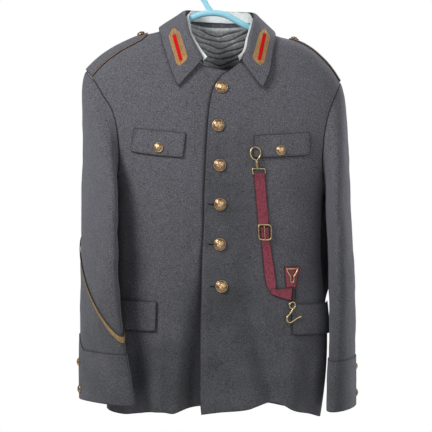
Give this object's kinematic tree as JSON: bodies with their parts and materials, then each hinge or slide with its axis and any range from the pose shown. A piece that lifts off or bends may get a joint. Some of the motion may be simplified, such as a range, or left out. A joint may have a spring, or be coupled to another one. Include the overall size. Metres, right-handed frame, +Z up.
{
  "type": "military uniform jacket on a clothes hanger",
  "caption": "Grey wool uniform jacket with turned collar, flapped pockets, shoulder straps and a leather sword strap, hung on a light blue hanger.",
  "frame": {"origin": "inside top of the hanger's hook, where a rail holds it", "axes": "+X to the wearer's left, -Y out of the jacket's front, +Z up; the rail runs along Y"},
  "size_m": [0.548, 0.2414, 0.8527],
  "materials": {
    "wool": "matt grey wool cloth",
    "gilt": "worn copper gilt",
    "brass": "worn brass",
    "maroon_leather": "maroon leather",
    "white_liner": "starched white cotton",
    "lining": "grey-green satin",
    "gold_thread": "gold wire braid",
    "red_cloth": "red felt",
    "brown_leather": "tan edged strap",
    "hanger_plastic": "light blue plastic"
  },
  "bodies": {
    "root": {"front_right": "wool", "front_left": "wool", "back": "wool", "sleeve_right": "wool", "sleeve_left": "wool", "cuff_right": "wool", "cuff_left": "wool", "collar_stand": "wool", "collar_fall": "wool", "chest_flap_right": "wool", "chest_flap_left": "wool", "hip_flap_right": "wool", "hip_flap_left": "wool", "shoulder_strap_right": "wool", "shoulder_strap_left": "wool", "front_button_1": "gilt", "front_button_2": "gilt", "front_button_3": "gilt", "front_button_4": "gilt", "front_button_5": "gilt", "front_button_6": "gilt", "chest_button_right": "gilt", "chest_button_left": "gilt", "strap_button_right": "gilt", "strap_button_left": "gilt", "cuff_button_right_1": "gilt", "cuff_button_right_2": "gilt", "cuff_button_left_1": "gilt", "cuff_button_left_2": "gilt", "strap_clip": "brass", "strap_loop": "brass", "strap_buckle": "brass", "strap_prong": "brass", "strap_triangle": "brass", "strap_hook": "brass", "strap_hook_eye": "brass", "strap_upper": "maroon_leather", "strap_keeper": "maroon_leather", "strap_lower": "maroon_leather", "strap_end": "maroon_leather", "strap_tab": "maroon_leather", "collar_liner": "white_liner", "back_lining": "lining", "collar_patch_right": "gold_thread", "collar_patch_left": "gold_thread", "patch_bar_right": "red_cloth", "patch_bar_left": "red_cloth", "sleeve_band": "brown_leather", "hanger": "hanger_plastic"}
  },
  "joints": []
}
